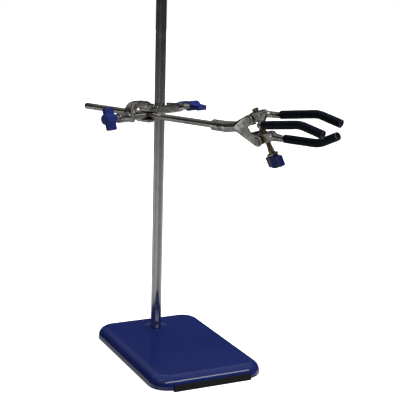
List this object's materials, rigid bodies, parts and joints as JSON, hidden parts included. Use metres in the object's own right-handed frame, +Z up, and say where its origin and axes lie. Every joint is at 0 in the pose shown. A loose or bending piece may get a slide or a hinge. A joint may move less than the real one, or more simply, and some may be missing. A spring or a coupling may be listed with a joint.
{
  "type": "retort stand",
  "caption": "Retort stand with a rounded rectangular enamelled base, plated rod, open-jaw bosshead with wing screws, and a clamp with sleeved fingers set by a wing knob.",
  "frame": {"origin": "bottom centre of the whole stand's bounding box, on the surface that it stands on", "axes": "+Z up the support rod; the base's long side and its front end lie along -Y, and +X is its right side seen from the front"},
  "size_m": [0.1434, 0.2786, 0.5],
  "materials": {
    "enamel": "glossy dark blue stoved enamel over pressed steel",
    "foot_rubber": "matt black edge trim",
    "rod_chrome": "bright plated",
    "arm_plate": "bright nickel plated, lightly dulled",
    "cast_nickel": "nickel plated casting, smooth with soft edges",
    "steel": "turned steel",
    "brass": "dull turned brass",
    "blue_plastic": "moulded royal blue plastic, slightly worn",
    "vinyl": "blue-black flexible vinyl sleeve, satin"
  },
  "bodies": {
    "base": {"base_shell": "enamel", "edge_foot_front": "foot_rubber", "edge_foot_rear": "foot_rubber"},
    "rod": {"support_rod": "rod_chrome", "rod_washer": "steel", "rod_lock_washer": "steel", "rod_nut": "steel"},
    "bosshead": {"bosshead_body": "cast_nickel"},
    "rod_lock_screw": {"rod_lock_screw": "steel"},
    "rod_lock_knob": {"rod_lock_knob": "blue_plastic"},
    "arm_lock_screw": {"arm_lock_screw": "steel"},
    "arm_lock_knob": {"arm_lock_knob": "blue_plastic"},
    "clamp_arm": {"clamp_rod": "arm_plate"},
    "clamp_head": {"clamp_body": "cast_nickel", "pivot_pin_upper": "steel", "pivot_pin_lower": "steel"},
    "double_jaw": {"double_jaw": "cast_nickel", "sleeve_near": "vinyl", "sleeve_far": "vinyl"},
    "single_jaw": {"single_jaw": "cast_nickel", "sleeve_single": "vinyl"},
    "swivel_bush": {"swivel_bush": "steel"},
    "swivel_nut": {"swivel_nut": "brass"},
    "adjusting_screw": {"adjusting_screw": "brass", "end_stop": "brass", "knob_collar": "steel", "adjusting_knob": "blue_plastic"}
  },
  "joints": [
    {"name": "rod_turn", "type": "hinge", "parent": "base", "child": "rod", "pos_m": [-0.00532, 0.06528, 0.0118], "axis": [0, 0, 1], "range_deg": [-180, 180]},
    {"name": "boss_height", "type": "slide", "parent": "rod", "child": "bosshead", "axis": [0, 0, 1], "range_m": [-0.16, 0.26]},
    {"name": "rod_knob_turn", "type": "hinge", "parent": "rod_lock_screw", "child": "rod_lock_knob", "pos_m": [0.0224, 0.07676, 0.2252], "axis": [0.9239, 0.3827, 0], "range_deg": [0, 1440.1]},
    {"name": "rod_screw_travel", "type": "slide", "parent": "bosshead", "child": "rod_lock_screw", "axis": [0.9239, 0.3827, 0], "range_m": [0, 0.004]},
    {"name": "arm_knob_turn", "type": "hinge", "parent": "arm_lock_screw", "child": "arm_lock_knob", "pos_m": [-0.05151, 0.04615, 0.221], "axis": [-0.9239, -0.3827, 0], "range_deg": [0, 1440.1]},
    {"name": "arm_screw_travel", "type": "slide", "parent": "bosshead", "child": "arm_lock_screw", "axis": [-0.9239, -0.3827, 0], "range_m": [0, 0.004]},
    {"name": "arm_slide", "type": "slide", "parent": "bosshead", "child": "clamp_arm", "axis": [0.3827, -0.9239, 0], "range_m": [-0.06, 0.07]},
    {"name": "head_roll", "type": "hinge", "parent": "clamp_arm", "child": "clamp_head", "pos_m": [-0.01918, 0.05954, 0.221], "axis": [0.3827, -0.9239, 0], "range_deg": [-180, 180]},
    {"name": "knob_turn", "type": "hinge", "parent": "swivel_bush", "child": "adjusting_screw", "pos_m": [0.02803, -0.06405, 0.23427], "axis": [0.3505, -0.1803, -0.919], "range_deg": [-540, 1440]},
    {"name": "double_jaw_swing", "type": "hinge", "parent": "clamp_head", "child": "double_jaw", "pos_m": [0.02638, -0.05885, 0.23262], "axis": [-0.8903, -0.3688, -0.2672], "range_deg": [-6, 16]},
    {"name": "single_jaw_swing", "type": "hinge", "parent": "clamp_head", "child": "single_jaw", "pos_m": [0.03311, -0.06231, 0.21497], "axis": [0.8903, 0.3688, 0.2672], "range_deg": [-6.01, 16.01]},
    {"name": "bush_swivel", "type": "hinge", "parent": "double_jaw", "child": "swivel_bush", "pos_m": [0.02803, -0.06405, 0.23427], "axis": [0.8903, 0.3688, 0.2672], "range_deg": [-6.01, 16.01]},
    {"name": "nut_swivel", "type": "hinge", "parent": "single_jaw", "child": "swivel_nut", "pos_m": [0.03476, -0.06751, 0.21662], "axis": [-0.8903, -0.3688, -0.2672], "range_deg": [-6.01, 16.01]}
  ],
  "couplings": [
    {"joint": "rod_knob_turn", "follows": "rod_screw_travel", "rad_per_m": 6283.2},
    {"joint": "arm_knob_turn", "follows": "arm_screw_travel", "rad_per_m": 6283.2},
    {"joint": "knob_turn", "follows": "double_jaw_swing", "ratio": 89.535},
    {"joint": "single_jaw_swing", "follows": "double_jaw_swing", "ratio": 1},
    {"joint": "bush_swivel", "follows": "double_jaw_swing", "ratio": 1},
    {"joint": "nut_swivel", "follows": "double_jaw_swing", "ratio": 1}
  ]
}
